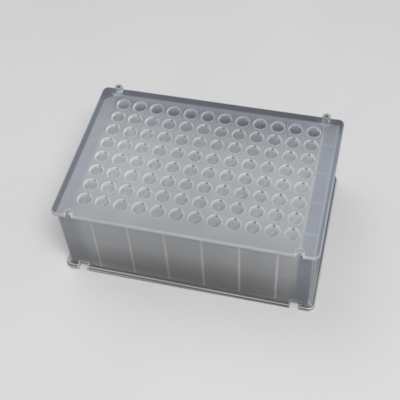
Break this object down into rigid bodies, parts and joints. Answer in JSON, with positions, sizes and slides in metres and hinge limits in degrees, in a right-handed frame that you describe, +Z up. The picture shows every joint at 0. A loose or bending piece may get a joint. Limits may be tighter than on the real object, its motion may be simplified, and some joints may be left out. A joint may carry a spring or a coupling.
{
  "type": "well plate",
  "caption": "Tall moulded plate with a grid of deep round wells, a skirt on a wider foot, and two stacking pegs, for holding small liquid samples.",
  "frame": {"origin": "centre of the footprint, on the plane that the foot stands on", "axes": "+X along a row of wells, from the first column to the last; +Y across the rows, towards the first row and the pegs; +Z up"},
  "size_m": [0.1278, 0.0854, 0.0505],
  "materials": {
    "plastic": "translucent natural polypropylene, smooth and faintly frosted"
  },
  "bodies": {
    "root": {"plate": "plastic"}
  },
  "joints": []
}
